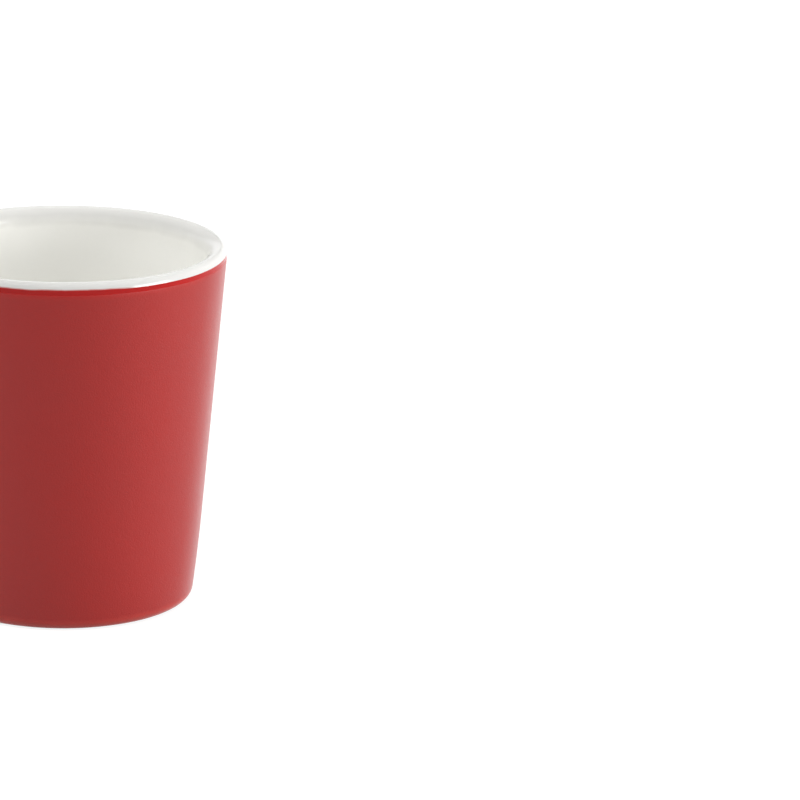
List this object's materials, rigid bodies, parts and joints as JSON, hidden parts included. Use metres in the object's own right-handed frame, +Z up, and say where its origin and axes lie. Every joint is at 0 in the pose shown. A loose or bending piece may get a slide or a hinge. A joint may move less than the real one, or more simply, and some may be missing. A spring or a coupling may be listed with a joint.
{
  "type": "stoneware tumbler",
  "caption": "Tapered round drinking cup without a handle, standing on a bare foot ring, with glazed walls, a thick rounded lip and a narrow glossy colour line under it.",
  "frame": {"origin": "centre of the foot on the surface that the tumbler stands on", "axes": "+Z up along the tumbler's axis; X and Y are free, because the tumbler is round"},
  "size_m": [0.08, 0.08, 0.09],
  "materials": {
    "bare_stoneware": "unglazed, dry and finely speckled",
    "white_gloss_glaze": "gloss",
    "red_satin_glaze": "satin with a very fine grain",
    "red_gloss_glaze": "gloss"
  },
  "bodies": {
    "root": {"stoneware_body": "bare_stoneware", "liner_glaze": "white_gloss_glaze", "outer_glaze": "red_satin_glaze", "rim_line": "red_gloss_glaze", "base_glaze": "red_satin_glaze"}
  },
  "joints": []
}
